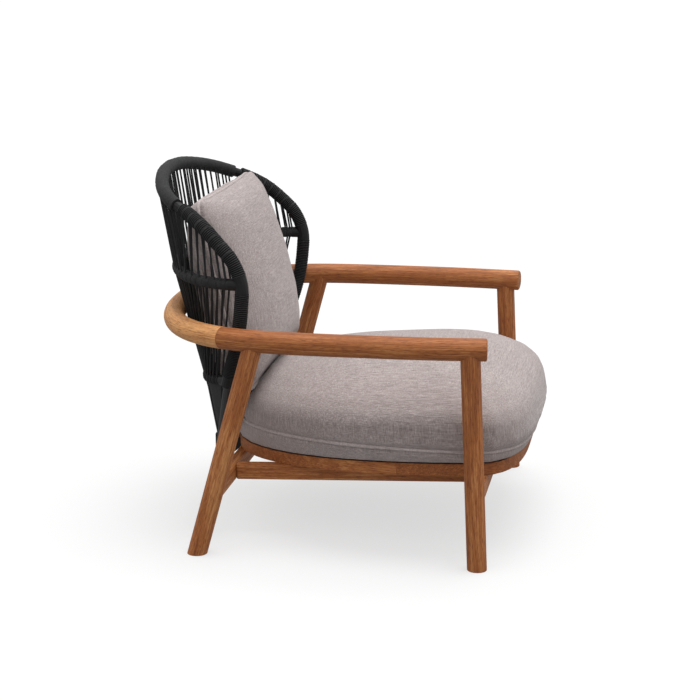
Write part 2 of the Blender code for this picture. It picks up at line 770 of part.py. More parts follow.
for sign, side in SIDES:
    loop_cut = bpy.data.objects[f"loop_{side}_cut"]
    rail_cut = bpy.data.objects[f"lower_rail_{side}_cut"]
    stile_cut = bpy.data.objects[f"stile_{side}_cut"]
    tube_cut = bpy.data.objects[f"lower_tube_{side}_cut"]
    rail_up = LOWER_RAIL[::-1]
    rail_length = lengths_of(rail_up)[-1]
    rows = (
        even(LOOP, WING_START, WING_END - PANEL_SHORT, 5),
        even(HOOP, HOOP_SPLIT + SPLIT_GAP, HOOP_LENGTH - HOOP_STUB - PANEL_SHORT, 5),
    )
    rows = [on_side(row, sign) for row in rows]
    cord_panel(f"cords_side_upper_{side}", rows, (loop_cut, HOOP_CUT))
    rows = (
        even(HOOP, HOOP_STILE, HOOP_LENGTH - HOOP_STUB - PANEL_SHORT, 5),
        even(rail_up, 0.0, rail_length - RAIL_REACH - PANEL_SHORT, 5),
    )
    rows = [on_side(row, sign) for row in rows]
    cord_panel(f"cords_side_lower_{side}", rows, (HOOP_CUT, rail_cut, stile_cut, tube_cut))
    near_hub = (STILE[1].lerp(STILE[0], WEB_REACH), LOWER_TUBE[0].lerp(LOWER_TUBE[1], WEB_REACH))
    rows = (
        even(rail_up, 0.0, rail_length - RAIL_REACH, 3),
        even(near_hub, 0.0, lengths_of(near_hub)[-1], 3),
    )
    rows = [on_side(row, sign) for row in rows]
    cord_panel(f"lower_web_{side}", rows, (rail_cut, stile_cut, tube_cut), WEB_THICKNESS)

# ---------------------------------------------------------------- cushions


def contact(z):
    """Y of the plane where the two cushions meet, at a height."""
    return CONTACT_Y + CONTACT_LEAN * (CONTACT_Z - z)


def seat_cushion_ring(height, side, front, rear, scale=1.0):
    """The seat's outline at a height above the deck, bulging by its own amount each way."""
    half = stretch(RING_LINE, 0.0, RING_LENGTH, CUSHION_STEP)
    ring = []
    for p, q in zip(half, offset_line(half, 1.0)):
        out = q - p
        amount = side * out.x**2 + (rear if out.y > 0 else front) * out.y**2
        spread = p + out * amount
        y = SEAT_MIDDLE_Y + (spread.y - SEAT_MIDDLE_Y) * scale
        point = on_seat(spread.x * scale, y, DECK_TOP + GAP + height)
        point.y = min(point.y, contact(point.z) - GAP)
        ring.append(point)
    return ring + mirrored(reversed(ring[1:-1]))


def seat_cushion_rings():
    rings = [seat_cushion_ring(*level) for level in SEAT_CUSHION_LEVELS]
    start, *spread = SEAT_CUSHION_LEVELS[-1]
    for share in SEAT_DOME_SHARES:
        scale = (1 - share**SEAT_DOME_RISE_POWER) ** (1 / SEAT_DOME_IN_POWER)
        height = start + (SEAT_CROWN - start) * share
        rings.append(seat_cushion_ring(height, *spread, max(scale, SEAT_DOME_SMALLEST)))
    return rings


def back_cushion_ring(share, half_width, front, rear):
    """One section of the leaning back cushion."""
    foot = Vector((0.0, *BACK_CUSHION_FOOT))
    head = Vector((0.0, *BACK_CUSHION_HEAD))
    forward = Vector((1.0, 0.0, 0.0)).cross(head - foot).normalized()
    centre = foot.lerp(head, share)
    ring = []
    for i in range(BACK_CUSHION_SIDES):
        angle = math.tau * i / BACK_CUSHION_SIDES
        across, depth = math.cos(angle), math.sin(angle)
        power = 2 / BACK_CUSHION_POWER
        x = math.copysign(abs(across) ** power, across) * half_width
        reach = abs(depth) ** power * (front if depth > 0 else -rear)
        point = centre + forward * reach + Vector((x, 0.0, 0.0))
        point.y = max(point.y, contact(point.z) + GAP)
        ring.append(point)
    return ring


def cushion(name, rings):
    """A cushion with its origin at the middle of its lowest section."""
    foot = sum(rings[0], Vector()) / len(rings[0])
    mesh = loft_mesh([[p - foot for p in ring] for ring in rings])
    shade_round(mesh)
    made = add(name, mesh, FABRIC)
    made.location = foot


cushion("seat_cushion", seat_cushion_rings())
cushion("back_cushion", [back_cushion_ring(*level) for level in BACK_CUSHION_LEVELS])

# The origin goes under the middle of the overall depth
for piece in (*CHAIR.objects, *CUTTERS.objects):
    piece.location.y -= MIDDLE_Y
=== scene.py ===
"""Looks of the wooden armchair: oiled round wood, cord-wound back frame, two woven-fabric cushions.

Metres, +Z up, the sitter faces -Y, X = 0 is the chair's middle plane.
"""
import math
import random
from functools import partial

import bmesh
import bpy
from mathutils import Euler, Matrix, Vector, noise
from mathutils.bvhtree import BVHTree


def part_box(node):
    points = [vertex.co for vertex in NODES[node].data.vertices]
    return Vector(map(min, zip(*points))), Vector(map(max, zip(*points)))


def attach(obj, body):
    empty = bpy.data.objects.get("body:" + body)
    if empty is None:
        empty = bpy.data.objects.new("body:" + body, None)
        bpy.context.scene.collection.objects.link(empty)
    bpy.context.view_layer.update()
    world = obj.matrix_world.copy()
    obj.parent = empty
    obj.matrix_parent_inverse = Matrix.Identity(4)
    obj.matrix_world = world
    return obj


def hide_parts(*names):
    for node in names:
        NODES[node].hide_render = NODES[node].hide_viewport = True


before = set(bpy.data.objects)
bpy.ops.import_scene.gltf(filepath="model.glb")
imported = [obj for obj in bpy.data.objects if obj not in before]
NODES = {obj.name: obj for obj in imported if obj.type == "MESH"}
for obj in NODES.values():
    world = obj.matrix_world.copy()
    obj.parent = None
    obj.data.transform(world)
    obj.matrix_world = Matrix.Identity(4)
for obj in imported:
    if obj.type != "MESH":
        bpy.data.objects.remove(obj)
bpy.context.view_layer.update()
SIDES = ((-1, "right"), (1, "left"))
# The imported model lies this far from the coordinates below.
SHIFT = Vector((0.0, -0.0039, 0.0))

# Arm rail
ARM_HEIGHT = 0.475
ARM_RADIUS = 0.024
ARM_HALF_WIDTH = 0.388
ARM_TIP_Y = -0.3405
ARM_TOE_IN = 0.0155
ARM_BEND_Y = -0.087
ARM_BEND_DEPTH = 0.489
ARM_SIDE_POWER = 2.13
ARM_REAR_POWER = 4.08
ARM_JOINT_Y = 0.226
ARM_TIP_ROUNDING = 0.0045
ARM_JOINT_HALF_GAP = 0.00015

# Back frame
LOOP_RADIUS = 0.0148
HOOP_RADIUS = 0.0118
LOWER_RAIL_RADIUS = 0.0105
LOOP_POINTS = (
    (0.000, 0.428, 0.7875),
    (0.080, 0.422, 0.7840),
    (0.160, 0.4045, 0.7725),
    (0.218, 0.382, 0.7590),
    (0.257, 0.353, 0.7440),
    (0.284, 0.315, 0.7265),
    (0.308, 0.277, 0.7030),
    (0.324, 0.241, 0.6710),
    (0.331, 0.207, 0.6330),
    (0.3325, 0.1885, 0.5850),
    (0.3320, 0.1895, 0.5350),
    (0.3285, 0.1955, 0.4870),
    (0.3180, 0.2050, 0.4430),
    (0.3040, 0.2180, 0.4020),
    (0.2880, 0.2310, 0.3620),
)
ARCH_END_Z = 0.7405
WING_START_Z = 0.7335
WING_JOINT_Z = 0.585
WING_JOINT_HALF = 0.0185
LOWER_JOINT_TOP_Z = 0.377
HOOP_REAR_Y = 0.395
HOOP_POWER = 2.1
HOOP_STUB = 0.026
STILE_KNEE = (0.131, 0.3165, 0.3380)
STILE_FOOT = (0.031, 0.3125, 0.1560)
LOWER_RAIL_BULGE = (0.222, 0.2870, 0.3510)
RAIL_REACH = 0.028
RAIL_END_GAP = 0.006

# Covers of the tubes
COVER_LUMP = 0.022
COVER_LUMP_RATE = 0.9
WINDING_PITCH = 0.0041
WINDING_DEPTH = 0.0015
WINDING_PROUD = 0.0008
HOOP_WRAP_PITCH = 0.0187
HOOP_WRAP_SLANT = 0.006
HOOP_WRAP_WIDTH = 0.0016
HOOP_WRAP_DEPTH = 0.0017
HOOP_WRAP_PROUD = 0.0006

# Cords. A loop's wrap round a tube starts and ends well under it, and drifts along it.
CORD_RADIUS = 0.0022
BRAID_PITCH = 0.0030
NET_PITCH = 0.0028
STRAND_PITCH = 0.0238
STRAND_UNEVEN = 0.06
WRAP_START = math.radians(-48.0)
WRAP_DRIFT = 0.004
PROUD_ON_LOOP = 0.0006
PROUD_ON_HOOP = 0.0010
PROUD_ON_RAIL = 0.0012
HOOP_SPLIT = 0.265
REAR_LOOPS = 24
FAN_LOOPS = 34
FAN_HALF_WIDTH = 0.034
FAN_RISE = 0.022
FAN_WRAP_RADIUS = 0.004
WING_LOOPS = 7
WING_STRUNG_FROM = 0.007
WING_STRUNG_TO = 0.167
WING_CROWDING = 1.5
SIDE_LOOPS = 9
SIDE_STRUNG_FROM = 0.024

# Cushions
CUSHION_VOXEL = 0.006
SWELL_RANGE = 0.03
SLIDE_LIMIT = 0.004
PIPING_RADIUS = 0.0040
PIPING_SHOWING = 0.45
SEAM_DEPTH = 0.0065
SEAM_WIDTH = 0.0065
CONTACT_Y = 0.160
CONTACT_Z = 0.390
CONTACT_SLOPE = 0.59
CONTACT_GAP = 0.002
SEAT_TILT = math.radians(2.3)
SEAT_PIVOT = Vector((0.0, 0.0, 0.134)) + SHIFT
DECK_RISE = 0.0659
SEAT_MIDDLE = Vector((0.0, -0.11, 0.0))
SEAT_GROW = 0.001
SEAT_ROUNDING = 10
SEAT_SWELL = 0.003
SEAT_WAVE = 0.003
SEAT_WAVE_RATE = 6.0
SEAT_WAVE_FULL_ABOVE = 0.1
SEAT_CLEARANCE = 0.001
SEAT_SETTLING = 0.009
SEAT_SETTLED_BELOW = 0.030
SEAT_SEAM_HEIGHT = 0.036
SEAT_SEAM_RISE = 0.045
BACK_FOOT = Vector((0.0, 0.226, 0.300)) + SHIFT
BACK_HEAD = Vector((0.0, 0.300, 0.744)) + SHIFT
BACK_UP = (BACK_HEAD - BACK_FOOT).normalized()
BACK_FORWARD = Vector((1.0, 0.0, 0.0)).cross(BACK_UP)
BACK_MIDDLE = BACK_FOOT.lerp(BACK_HEAD, 0.5)
BACK_GROW = 0.003
BACK_ROUNDING = 26
BACK_SWELL = 0.006
BOXING_HALF = 0.0135
BOXING_LEAN = 0.080
FULL_MIDDLE = 0.003
FULL_FOOT = 0.012
FULL_REAR = 0.009
CORNER_OUT = 0.004
CORNER_UP = 0.006

# Colours
WOOD_DARK = (0.170, 0.045, 0.012)
WOOD_MID = (0.400, 0.135, 0.038)
WOOD_LIGHT = (0.820, 0.420, 0.165)
PORE_TINT = (0.42, 0.30, 0.25)
CORD_DARK = (0.004, 0.004, 0.0045)
CORD_MID = (0.014, 0.014, 0.015)
CORD_PALE = (0.026, 0.026, 0.028)
# The winding's gap colour is painted shade and its crest colour a painted highlight, set in step with the
# cord turns.
WINDING_GAP_PAINTED_SHADE = (0.0005, 0.0005, 0.0006)
WINDING_MID = (0.008, 0.008, 0.0085)
WINDING_CREST_PAINTED_HIGHLIGHT = (0.085, 0.085, 0.087)
FELT_PALE = (0.046, 0.046, 0.048)
COAT_DARK = (0.006, 0.006, 0.0065)
COAT_PALE = (0.011, 0.011, 0.012)
NET_GAP = (0.002, 0.002, 0.002)
NET_THREAD = (0.020, 0.020, 0.022)
FABRIC_DARK = (0.160, 0.131, 0.124)
FABRIC_MID = (0.335, 0.281, 0.270)
FABRIC_PALE = (0.580, 0.505, 0.490)

# Wood grain: direction, tone and place in the grain of the pieces
ARM_TONE = -0.06
ARM_SEED = {"right": 0.31, "left": 0.77}
BOW_TONE = 0.34
BOW_SEED = 1.9
RAIL_TONE = 0.02
LEG_SPLAY = 0.022
LEG_LEAN = {"front": 0.047, "rear": -0.272}
LEG_TONE = {"front": -0.06, "rear": 0.02}
LEG_SEED = {"front": 0.0, "rear": 0.5}
RING_LEAN = {"front": 0.6, "rear": -0.1}
RING_TONE = {"front": -0.10, "rear": -0.04}

# Light, floor and camera
SKY_LOW = 0.36
SKY_HIGH = 0.96
SKY_LEAN = (0.05, -0.10, 1.0)
FLOOR_SIZE = 300.0
FLOOR_PAINT = 0.25
FLOOR_GLOW = 0.63
SUN_POWER = 2.0
SUN_SPREAD = math.radians(38.0)
SUN_PLACE = (0.25, -0.30, 3.0)
CAMERA_LENS = 99.42
CAMERA_PLACE = (-4.2458, -0.7369, 1.3976)
CAMERA_TURN = (math.radians(76.636), 0.0, math.radians(-80.035))

# ---------------------------------------------------------------- paths


def resample(points, step):
    """The same polyline with evenly spaced points, its ends kept."""
    points = [Vector(p) for p in points]
    total = lengths_of(points)
    count = max(2, round(total[-1] / step) + 1)
    return even(points, 0.0, total[-1], count)


def lengths_of(points):
    """The length along the path at each of its points."""
    total = [0.0]
    for a, b in zip(points, points[1:]):
        total.append(total[-1] + (b - a).length)
    return total


def even(points, start, end, count):
    """So many evenly spaced points of the path between two lengths."""
    total = lengths_of(points)
    picked = []
    k = 0
    for i in range(count):
        want = start + (end - start) * i / (count - 1)
        while k < len(points) - 2 and total[k + 1] < want:
            k += 1
        picked.append(points[k].lerp(points[k + 1], (want - total[k]) / (total[k + 1] - total[k])))
    return picked


def between(points, start, end, step):
    """Points of the path between two lengths, about a step apart."""
    return even(points, start, end, max(3, round((end - start) / step) + 1))


def length_at(points, axis, value):
    """How far along the path its coordinate on the axis first passes the value."""
    total = lengths_of(points)
    for i in range(len(points) - 1):
        a = points[i][axis] - value
        b = points[i + 1][axis] - value
        if a * b <= 0 and a != b:
            return total[i] + (total[i + 1] - total[i]) * a / (a - b)
    return total[-1]


def smooth_path(points, per_span=12):
    """A Catmull-Rom curve through the points."""
    points = [Vector(p) for p in points]
    ends = [2 * points[0] - points[1], *points, 2 * points[-1] - points[-2]]
    path = []
    for a, b, c, d in zip(ends, ends[1:], ends[2:], ends[3:]):
        for j in range(per_span):
            t = j / per_span
            cubic = (3 * b - a - 3 * c + d) * t**3
            path.append(0.5 * (2 * b + (c - a) * t + (2 * a - 5 * b + 4 * c - d) * t * t + cubic))
    return [*path, points[-1]]


def mirrored(points):
    """The path on the other side of the middle plane."""
    return [Vector((-p[0], p[1], p[2])) for p in points]


def on_side(points, sign):
    """A path drawn on the left, kept there or mirrored to the right."""
    return [Vector((sign * p.x, p.y, p.z)) for p in points]


def whole(points):
    """A half line from the middle plane outwards, made a whole line."""
    return mirrored(reversed(points[1:])) + list(points)


def arm_path():
    """The arm rail's centre line from the left tip to the middle of the rear bow."""
    points = []
    for i in range(24):
        y = ARM_TIP_Y + (ARM_BEND_Y - ARM_TIP_Y) * i / 24
        inward = ARM_TOE_IN * ((ARM_BEND_Y - y) / (ARM_BEND_Y - ARM_TIP_Y)) ** 2
        points.append((ARM_HALF_WIDTH - inward, y, ARM_HEIGHT))
    for i in range(400):
        angle = math.pi / 2 * i / 399
        x = ARM_HALF_WIDTH * math.cos(angle) ** (2 / ARM_SIDE_POWER) if i < 399 else 0.0
        y = ARM_BEND_Y + ARM_BEND_DEPTH * math.sin(angle) ** (2 / ARM_REAR_POWER)
        points.append((x, y, ARM_HEIGHT))
    return resample([Vector(p) + SHIFT for p in points], 0.004)


LOOP = resample([p + SHIFT for p in smooth_path(LOOP_POINTS)], 0.003)
ARCH_END = length_at(LOOP, 2, ARCH_END_Z)
WING_START = length_at(LOOP, 2, WING_START_Z)
WING_END = length_at(LOOP, 2, WING_JOINT_Z + WING_JOINT_HALF)
SIDE_START = length_at(LOOP, 2, WING_JOINT_Z - WING_JOINT_HALF)
SIDE_END = length_at(LOOP, 2, LOWER_JOINT_TOP_Z)


def hoop_path():
    """The hoop's centre line from the middle of the back to the left wing joint."""
    side = even(LOOP, 0.0, length_at(LOOP, 2, WING_JOINT_Z), 2)[-1]
    depth = HOOP_REAR_Y + SHIFT.y - side.y
    points = []
    for i in range(121):
        angle = math.pi / 2 * (1 - i / 120)
        x = side.x * math.cos(angle) ** (2 / HOOP_POWER) if i > 0 else 0.0
        points.append((x, side.y + depth * math.sin(angle) ** (2 / HOOP_POWER), side.z))
    return resample(points, 0.003)


HOOP = hoop_path()
HOOP_LENGTH = lengths_of(HOOP)[-1]
LOWER_RAIL = smooth_path((LOOP[-1], Vector(LOWER_RAIL_BULGE) + SHIFT, Vector(STILE_KNEE) + SHIFT), 20)
LOWER_RAIL_LENGTH = lengths_of(LOWER_RAIL)[-1]
RAIL_END = LOWER_RAIL_LENGTH - RAIL_END_GAP

# ---------------------------------------------------------------- materials


class Look:
    """A Principled material and short calls that add nodes to it."""

    def __init__(self, name, colour=(0.5, 0.5, 0.5), roughness=0.6, **constants):
        self.material = bpy.data.materials.new(name)
        self.material.use_nodes = True
        self.tree = self.material.node_tree
        self.shader = self.tree.nodes["Principled BSDF"]
        self.shader.inputs["Base Color"].default_value = (*colour, 1.0)
        self.shader.inputs["Roughness"].default_value = roughness
        for key, value in constants.items():
            self.shader.inputs[key.replace("_", " ")].default_value = value

    def node(self, kind, **settings):
        made = self.tree.nodes.new(kind)
        for key, value in settings.items():
            setattr(made, key, value)
        return made

    def link(self, source, target):
        self.tree.links.new(source, target)
        return target

    def set(self, socket, value):
        if isinstance(value, bpy.types.NodeSocket):
            self.link(value, socket)
        else:
            socket.default_value = value

    def math(self, operation, a, b=0.0, c=0.0):
        made = self.node("ShaderNodeMath", operation=operation)
        for socket, value in zip(made.inputs, (a, b, c)):
            self.set(socket, value)
        return made.outputs[0]

    def vector(self, operation, a, b=(0.0, 0.0, 0.0)):
        made = self.node("ShaderNodeVectorMath", operation=operation)
        self.set(made.inputs[0], a)
        self.set(made.inputs[1], b)
        return made.outputs[0]

    def place(self):
        """Coordinates in metres in the chair's frame."""
        return self.node("ShaderNodeTexCoord").outputs["Object"]

    def attribute(self, name):
        return self.node("ShaderNodeAttribute", attribute_name=name).outputs["Vector"]

    def split(self, vector):
        """The vector's three components."""
        made = self.node("ShaderNodeSeparateXYZ")
        self.link(vector, made.inputs[0])
        return made.outputs

    def turned(self, vector, rotation, offset=(0.0, 0.0, 0.0)):
        made = self.node("ShaderNodeMapping")
        self.link(vector, made.inputs["Vector"])
        made.inputs["Rotation"].default_value = rotation
        made.inputs["Location"].default_value = offset
        return made.outputs[0]

    def noise(self, vector, scale, detail=3.0, roughness=0.55):
        """Noise stretched by a scale for each axis, in cycles per metre."""
        made = self.node("ShaderNodeTexNoise")
        made.inputs["Scale"].default_value = 1.0
        made.inputs["Detail"].default_value = detail
        made.inputs["Roughness"].default_value = roughness
        self.link(self.vector("MULTIPLY", vector, scale), made.inputs["Vector"])
        return made.outputs["Fac"]

    def ramp(self, factor, *stops):
        made = self.node("ShaderNodeValToRGB")
        elements = made.color_ramp.elements
        while len(elements) < len(stops):
            elements.new(0.5)
        for element, (place, value) in zip(elements, stops):
            element.position = place
            element.color = (*value, 1.0) if isinstance(value, tuple) else (value, value, value, 1.0)
        self.link(factor, made.inputs["Fac"])
        return made.outputs["Color"]

    def mix(self, factor, a, b, blend="MIX"):
        made = self.node("ShaderNodeMix", data_type="RGBA", blend_type=blend)
        self.set(made.inputs[0], factor)
        for socket, value in ((made.inputs[6], a), (made.inputs[7], b)):
            self.set(socket, (*value, 1.0) if isinstance(value, tuple) else value)
        return made.outputs[2]

    def colour(self, socket):
        self.link(socket, self.shader.inputs["Base Color"])

    def rough(self, socket):
        self.link(socket, self.shader.inputs["Roughness"])

    def bump(self, height, distance, strength=1.0):
        made = self.node("ShaderNodeBump")
        made.inputs["Strength"].default_value = strength
        made.inputs["Distance"].default_value = distance
        self.link(height, made.inputs["Height"])
        if self.shader.inputs["Normal"].is_linked:
            self.link(self.shader.inputs["Normal"].links[0].from_socket, made.inputs["Normal"])
        self.link(made.outputs[0], self.shader.inputs["Normal"])


def wood(name, grain=None, tone=0.0, seed=0.0):
    """Oiled hardwood. The grain runs along a direction, or along a swept piece's own length."""
    look = Look(f"wood_{name}", roughness=0.6, Specular_IOR_Level=0.3)
    if grain is None:
        along = look.vector("ADD", look.attribute("tube"), (seed, seed * 0.7, seed * 3.0))
    else:
        turn = Vector(grain).rotation_difference(Vector((0.0, 0.0, 1.0))).to_euler()
        along = look.turned(look.place(), turn, (seed, seed * 0.7, seed * 3.0))
    wander = look.noise(along, (9.0, 9.0, 2.2), 2.0)
    rings = look.noise(along, (75.0, 26.0, 1.5), 3.0, 0.6)
    bands = look.math("SINE", look.math("MULTIPLY", look.math("ADD", rings, wander), 34.0))
    streaks = look.noise(along, (420.0, 420.0, 9.0), 4.0, 0.65)
    pores = look.noise(along, (850.0, 850.0, 60.0), 2.0, 0.5)
    patches = look.noise(along, (14.0, 14.0, 4.0), 2.0)
    light = look.math("MULTIPLY_ADD", bands, 0.07, 0.5 + tone)
    light = look.math("ADD", light, look.math("MULTIPLY_ADD", streaks, 0.75, -0.375))
    light = look.math("ADD", light, look.math("MULTIPLY_ADD", patches, 0.4, -0.2))
    colour = look.ramp(light, (0.12, WOOD_DARK), (0.50, WOOD_MID), (0.92, WOOD_LIGHT))
    pits = look.ramp(pores, (0.37, 0.0), (0.47, 1.0))
    look.colour(look.mix(look.math("MULTIPLY_ADD", pits, -0.7, 0.7), colour, PORE_TINT, "MULTIPLY"))
    look.rough(look.math("MULTIPLY_ADD", streaks, 0.25, 0.45))
    look.bump(look.math("ADD", look.math("MULTIPLY", pits, 0.6), streaks), 0.0004, 0.5)
    return look.material


def fuzz_and_wear(look):
    """The fine fuzz and the broad wear of cord."""
    place = look.place()
    fuzz = look.noise(place, (900.0, 900.0, 900.0), 3.0, 0.7)
    return fuzz, look.noise(place, (35.0, 35.0, 35.0), 3.0)


def winding(name):
    """Round cord wound tightly on a tube, with painted highlights on the turns' crests and painted shade in
    the gaps between them.
    """
    look = Look(f"winding_{name}", Specular_IOR_Level=0.2)
    length = look.split(look.attribute("tube"))[2]
    turn = look.math("MULTIPLY", length, math.tau / WINDING_PITCH)
    # Painted light: near 1 on each turn's crest for a painted highlight, near 0 in the gaps for painted
    # shade.
    painted_crest_light = look.math("MULTIPLY_ADD", look.math("COSINE", turn), -0.5, 0.5)
    fuzz, worn = fuzz_and_wear(look)
    level = look.math("MULTIPLY", painted_crest_light, look.math("MULTIPLY_ADD", fuzz, 0.7, 0.5))
    level = look.math("ADD", level, look.math("MULTIPLY_ADD", worn, 0.2, -0.10))
    look.colour(look.ramp(level, (0.15, WINDING_GAP_PAINTED_SHADE), (0.60, WINDING_MID), (1.00, WINDING_CREST_PAINTED_HIGHLIGHT)))
    look.rough(look.math("MULTIPLY_ADD", fuzz, 0.2, 0.70))
    look.bump(fuzz, 0.0004, 0.6)
    return look.material


def cord(name):
    """Matt black braided cord: a fine crossing braid along each strand, over worn variation."""
    look = Look(f"cord_{name}", roughness=0.8)
    across, over, length = look.split(look.attribute("tube"))
    angle = look.math("ARCTAN2", over, across)
    along = look.math("MULTIPLY", length, math.tau / BRAID_PITCH)
    left = look.math("SINE", look.math("MULTIPLY_ADD", angle, 3.0, along))
    right = look.math("SINE", look.math("MULTIPLY_ADD", angle, -3.0, along))
    weave = look.math("MULTIPLY", left, right)
    fuzz, worn = fuzz_and_wear(look)
    level = look.math("ADD", look.math("MULTIPLY", fuzz, 0.6), look.math("MULTIPLY", worn, 0.5))
    level = look.math("MULTIPLY_ADD", weave, 0.12, level)
    look.colour(look.ramp(level, (0.30, CORD_DARK), (0.55, CORD_MID), (0.85, CORD_PALE)))
    look.rough(look.math("MULTIPLY_ADD", fuzz, 0.2, 0.65))
    look.bump(weave, 0.0004, 0.7)
    look.bump(fuzz, 0.0003, 0.6)
    return look.material


def felt(name):
    """The arch's covering: a fine matt knit."""
    look = Look(f"felt_{name}", roughness=0.9)
    place = look.place()
    grain = look.noise(place, (520.0, 520.0, 520.0), 3.0, 0.75)
    cloudy = look.noise(place, (60.0, 60.0, 60.0), 3.0, 0.6)
    level = look.math("ADD", look.math("MULTIPLY", grain, 0.75), look.math("MULTIPLY", cloudy, 0.35))
    look.colour(look.ramp(level, (0.36, CORD_DARK), (0.55, CORD_MID), (0.78, FELT_PALE)))
    look.rough(look.math("MULTIPLY_ADD", grain, 0.15, 0.80))
    look.bump(grain, 0.0008, 0.8)
    return look.material


def coated(name):
    """Satin black powder coat with a faint orange-peel texture."""
    look = Look(f"coat_{name}", Specular_IOR_Level=0.3)
    place = look.place()
    peel = look.noise(place, (700.0, 700.0, 700.0), 2.0)
    cloudy = look.noise(place, (40.0, 40.0, 40.0), 2.0)
    look.colour(look.ramp(cloudy, (0.3, COAT_DARK), (0.75, COAT_PALE)))
    look.rough(look.math("MULTIPLY_ADD", peel, 0.18, 0.40))
    look.bump(peel, 0.0002, 0.35)
    return look.material


def netting(name):
    """Black open-weave sheet: crossing threads with dark gaps."""
    look = Look(f"netting_{name}", roughness=0.85)
    x, y, z = look.split(look.place())
    rate = math.pi / NET_PITCH
    across = look.math("ABSOLUTE", look.math("SINE", look.math("MULTIPLY", x, rate)))
    along = look.math("ABSOLUTE", look.math("SINE", look.math("MULTIPLY", look.math("ADD", y, z), rate)))
    threads = look.math("MAXIMUM", across, along)
    look.colour(look.ramp(threads, (0.35, NET_GAP), (0.95, NET_THREAD)))
    look.bump(threads, 0.0008, 0.8)
    return look.material


def fabric(name, lean=0.0, tone=0.0):
    """Greige plain weave with slubs. The threads run along the axes of the leaning cushion."""
    look = Look(f"fabric_{name}", roughness=0.9, Sheen_Weight=0.2, Sheen_Roughness=0.5)
    place = look.turned(look.place(), (lean, 0.0, 0.0))
    normal = look.split(look.node("ShaderNodeTexCoord").outputs["Normal"])

    def lines(axis, across, along):
        """Noise drawn out along an axis, which fades where the surface faces that way."""
        scale = [across] * 3
        scale[axis] = along
        drawn = look.math("SUBTRACT", look.noise(place, scale, 2.0, 0.5), 0.5)
        fading = look.math("SUBTRACT", 1.0, look.math("MULTIPLY", normal[axis], normal[axis]))
        return look.math("MULTIPLY", drawn, fading)

    threads = slubs = 0.0
    for axis in range(3):
        threads = look.math("ADD", lines(axis, 900.0, 45.0), threads)
        slubs = look.math("ADD", lines(axis, 430.0, 13.0), slubs)
    cloudy = look.math("SUBTRACT", look.noise(place, (7.0, 7.0, 7.0), 3.0), 0.5)
    # tone lifts the whole weave lighter; on the piping it is a painted highlight.
    level = look.math("MULTIPLY_ADD", threads, 0.9, 0.5 + tone)
    level = look.math("ADD", level, look.math("MULTIPLY", slubs, 0.42))
    level = look.math("ADD", level, look.math("MULTIPLY", cloudy, 0.15))
    look.colour(look.ramp(level, (0.10, FABRIC_DARK), (0.50, FABRIC_MID), (0.90, FABRIC_PALE)))
    look.bump(slubs, 0.0006, 0.5)
    look.bump(threads, 0.0006, 0.6)
    return look.material


# ---------------------------------------------------------------- swept pieces


def frames_along(points, closed):
    """Tangent and two cross directions at each point, turned as little as possible."""
    count = len(points)
    tangents = []
    for i in range(count):
        after = points[(i + 1) % count] if closed else points[min(i + 1, count - 1)]
        before = points[i - 1] if closed or i else points[0]
        tangents.append((after - before).normalized())
    up = Vector((0.0, 0.0, 1.0))
    if abs(tangents[0].dot(up)) > 0.9:
        up = Vector((0.0, 1.0, 0.0))
    across = (up - tangents[0] * up.dot(tangents[0])).normalized()
    frames = []
    for i, tangent in enumerate(tangents):
        if i:
            across = tangents[i - 1].rotation_difference(tangent) @ across
        across = (across - tangent * across.dot(tangent)).normalized()
        frames.append((tangent, across, tangent.cross(across)))
    return frames


def sweep_into(shape, layer, points, radius, sides, closed):
    """Adds a tube to a bmesh. radius is a number, or a function of length and angle.

    The layer keeps each point's place across, over and along the tube, for its material.
    """
    total = lengths_of(points)
    rows = []
    for point, length, (_, across, over) in zip(points, total, frames_along(points, closed)):
        row = []
        for k in range(sides):
            angle = math.tau * k / sides
            r = radius(length, angle) if callable(radius) else radius
            vert = shape.verts.new(point + (across * math.cos(angle) + over * math.sin(angle)) * r)
            vert[layer] = Vector((r * math.cos(angle), r * math.sin(angle), length))
            row.append(vert)
        rows.append(row)
    pairs = list(zip(rows, rows[1:]))
    if closed:
        pairs.append((rows[-1], rows[0]))
    for low, high in pairs:
        for k in range(sides):
            shape.faces.new((low[k], low[(k + 1) % sides], high[(k + 1) % sides], high[k]))
    if not closed:
        shape.faces.new(list(reversed(rows[0])))
        shape.faces.new(rows[-1])


def placed(name, data):
    """A new object in the scene, made of the data."""
    item = bpy.data.objects.new(name, data)
    bpy.context.scene.collection.objects.link(item)
    return item


def dress(mesh, material, sharp_angle):
    """Gives a mesh one material and smooth shading, with sharp edges above the angle."""
    mesh.materials.clear()
    mesh.materials.append(material)
    mesh.shade_smooth()
    mesh.set_sharp_from_angle(angle=math.radians(sharp_angle))


def swept_piece(name, lines, radius, material, sides, closed=False):
    """One piece made of a tube along each line."""
    shape = bmesh.new()
    layer = shape.verts.layers.float_vector.new("tube")
    for line in lines:
        sweep_into(shape, layer, line, radius, sides, closed)
    bmesh.ops.recalc_face_normals(shape, faces=shape.faces)
    mesh = bpy.data.meshes.new(name)
    shape.to_mesh(mesh)
    shape.free()
    dress(mesh, material, 80 if closed else 50)
    return placed(name, mesh)


def stand_for(piece, node):
    """The piece rides with the chair's frame in place of that CAD node."""
    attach(piece, "chair_frame")
    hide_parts(node)


# ---------------------------------------------------------------- wood


def paint(node, material):
    """Gives a CAD node that stays in sight its material."""
    dress(NODES[node].data, material, 35)


